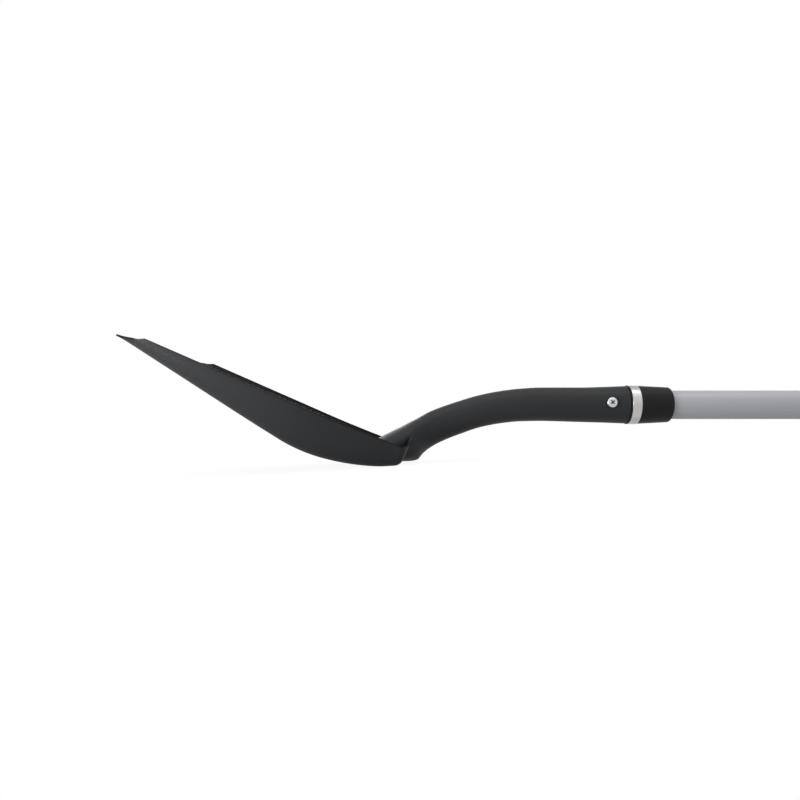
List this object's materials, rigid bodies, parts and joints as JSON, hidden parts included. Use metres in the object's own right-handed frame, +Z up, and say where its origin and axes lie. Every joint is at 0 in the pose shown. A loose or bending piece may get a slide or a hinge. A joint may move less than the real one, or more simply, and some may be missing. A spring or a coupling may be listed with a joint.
{
  "type": "square shovel",
  "caption": "Square-mouth shovel: dished steel pan with raised sides, swan-neck socket, collar, round tube shaft and D-shaped grip.",
  "frame": {"origin": "below the middle of the bounding box, on the ground the shovel lies on", "axes": "+X from the pan's leading edge to the grip, +Y to the shovel's left when it is held out in front, +Z up, the open side of the pan"},
  "size_m": [1.2402, 0.2358, 0.1402],
  "materials": {
    "pan_paint": "dark grey satin paint",
    "neck_paint": "dark grey satin paint",
    "seal_rubber": "black, matt",
    "ring_metal": "bright turned metal",
    "collar_plastic": "black, satin",
    "tube_paint": "silver grey, fine satin",
    "plug_wood": "raw",
    "screw_zinc": "bright zinc",
    "grip_plastic": "black, satin",
    "sleeve_rubber": "black, matt"
  },
  "bodies": {
    "root": {"pan": "pan_paint", "neck": "neck_paint", "mouth_seal": "seal_rubber", "ferrule_ring": "ring_metal", "collar": "collar_plastic", "shaft_tube": "tube_paint", "shaft_plug": "plug_wood", "grip_yoke": "grip_plastic", "grip_sleeve": "sleeve_rubber", "shaft_screw": "screw_zinc", "grip_screw": "screw_zinc"}
  },
  "joints": []
}
